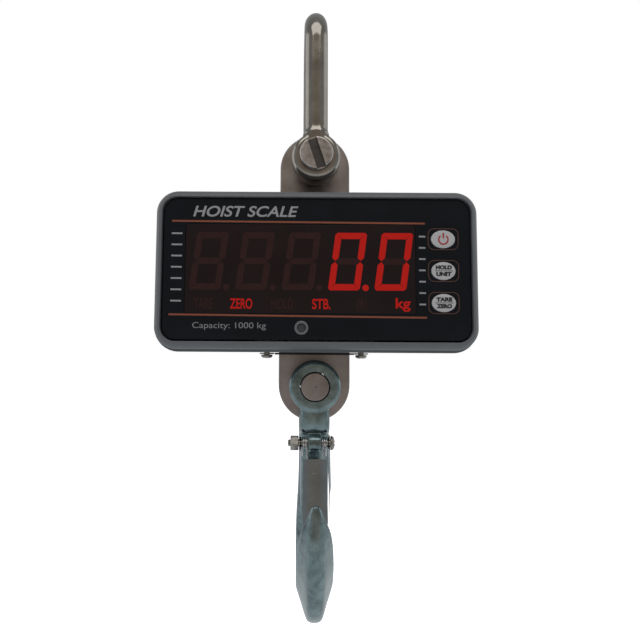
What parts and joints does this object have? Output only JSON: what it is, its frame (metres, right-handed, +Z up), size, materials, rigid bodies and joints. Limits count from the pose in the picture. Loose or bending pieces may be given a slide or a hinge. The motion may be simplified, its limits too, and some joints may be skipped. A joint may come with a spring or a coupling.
{
  "type": "hanging crane scale",
  "caption": "Hanging crane scale: long bow shackle, load-cell plate through a grey casing with red digits and keys, and a clevis hook with sprung latch.",
  "frame": {"origin": "inside of the shackle's crown, where the hoist hook bears", "axes": "+Z up along the line of load, -Y towards the reader of the display, +X to the reader's right"},
  "size_m": [0.17, 0.0782, 0.347],
  "materials": {
    "polished_steel": "polished stainless round bar",
    "pin_steel": "turned and dulled pin steel",
    "plate_steel": "satin alloy-steel plate with a warm grey cast",
    "clamp_aluminium": "milled aluminium",
    "grey_casting": "fine-textured grey paint on a die casting",
    "black_overlay": "printed black polyester overlay, slight sheen",
    "red_filter": "dark red filter sheet",
    "key_grey": "light grey embossed key top",
    "smoked_lens": "smoked plastic lens",
    "digit_black": "dark display module with red segments",
    "circuit_board": "green circuit board",
    "black_plastic": "moulded black plastic",
    "battery_wrap": "shrink-wrapped battery cells",
    "black_rubber": "matt black rubber",
    "sealing_compound": "cured sealing compound",
    "brass": "plain turned brass",
    "zinc_fastener": "bright zinc plated fastener",
    "zinc_forging": "blue-white zinc plating on a forging",
    "zinc_sheet": "blue-white zinc plating on folded sheet",
    "spring_wire": "drawn spring wire"
  },
  "bodies": {
    "shackle": {"shackle_bow": "polished_steel"},
    "pin": {"shackle_pin": "pin_steel"},
    "scale": {"load_cell": "plate_steel", "cell_clamp_left": "clamp_aluminium", "cell_clamp_right": "clamp_aluminium", "rear_cover": "grey_casting", "front_frame": "grey_casting", "battery_door": "grey_casting", "overlay_panel": "black_overlay", "display_window": "red_filter", "ir_window": "smoked_lens", "ir_receiver": "smoked_lens", "digit_1": "digit_black", "digit_2": "digit_black", "digit_3": "digit_black", "digit_4": "digit_black", "digit_5": "digit_black", "legend_bar": "digit_black", "display_board": "circuit_board", "main_board": "circuit_board", "switch_power": "black_plastic", "switch_hold": "black_plastic", "switch_tare": "black_plastic", "buzzer": "black_plastic", "charge_socket": "black_plastic", "battery_pack": "battery_wrap", "upper_seal": "black_rubber", "lower_seal": "black_rubber", "casing_gasket": "black_rubber", "charge_plug": "black_rubber", "gauge_cable": "black_rubber", "battery_cable": "black_rubber", "gauge_cover_front": "sealing_compound", "gauge_cover_back": "sealing_compound", "standoff_left_lower": "brass", "standoff_left_upper": "brass", "standoff_right_lower": "brass", "standoff_right_upper": "brass", "clamp_screw_left": "zinc_fastener", "clamp_screw_right": "zinc_fastener", "underside_washer_left": "zinc_fastener", "underside_washer_right": "zinc_fastener", "underside_screw_left": "zinc_fastener", "underside_screw_right": "zinc_fastener", "door_screw_left": "zinc_fastener", "door_screw_right": "zinc_fastener", "case_screw_1": "zinc_fastener", "case_screw_2": "zinc_fastener", "case_screw_3": "zinc_fastener", "case_screw_4": "zinc_fastener"},
    "hook": {"hook_body": "zinc_forging", "hook_pin": "plate_steel", "hook_roll_pin": "zinc_fastener", "latch_bolt": "zinc_fastener", "latch_nut": "zinc_fastener", "latch_spring": "spring_wire"},
    "latch": {"safety_latch": "zinc_sheet"},
    "power_key": {"key_power": "key_grey"},
    "hold_key": {"key_hold": "key_grey"},
    "tare_key": {"key_tare": "key_grey"}
  },
  "joints": [
    {"name": "pin_draw", "type": "slide", "parent": "shackle", "child": "pin", "axis": [0, -1, 0], "range_m": [0, 0.056]},
    {"name": "scale_swing", "type": "hinge", "parent": "shackle", "child": "scale", "pos_m": [0, 0, -0.0802], "axis": [0, 1, 0], "range_deg": [-90, 90]},
    {"name": "hook_swing", "type": "hinge", "parent": "scale", "child": "hook", "pos_m": [0, 0, -0.2057], "axis": [0, 1, 0], "range_deg": [-80, 80]},
    {"name": "latch_open", "type": "hinge", "parent": "hook", "child": "latch", "pos_m": [0, -0.014, -0.2363], "axis": [1, 0, 0], "range_deg": [0, 34], "stiffness_Nm_per_rad": 0.06, "springref_deg": -28.65, "deforming": ["latch_spring"]},
    {"name": "power_press", "type": "slide", "parent": "scale", "child": "power_key", "axis": [0, 1, 0], "range_m": [0, 0.0004], "stiffness_N_per_m": 7500, "springref_m": -0.0001},
    {"name": "hold_press", "type": "slide", "parent": "scale", "child": "hold_key", "axis": [0, 1, 0], "range_m": [0, 0.0004], "stiffness_N_per_m": 7500, "springref_m": -0.0001},
    {"name": "tare_press", "type": "slide", "parent": "scale", "child": "tare_key", "axis": [0, 1, 0], "range_m": [0, 0.0004], "stiffness_N_per_m": 7500, "springref_m": -0.0001}
  ]
}
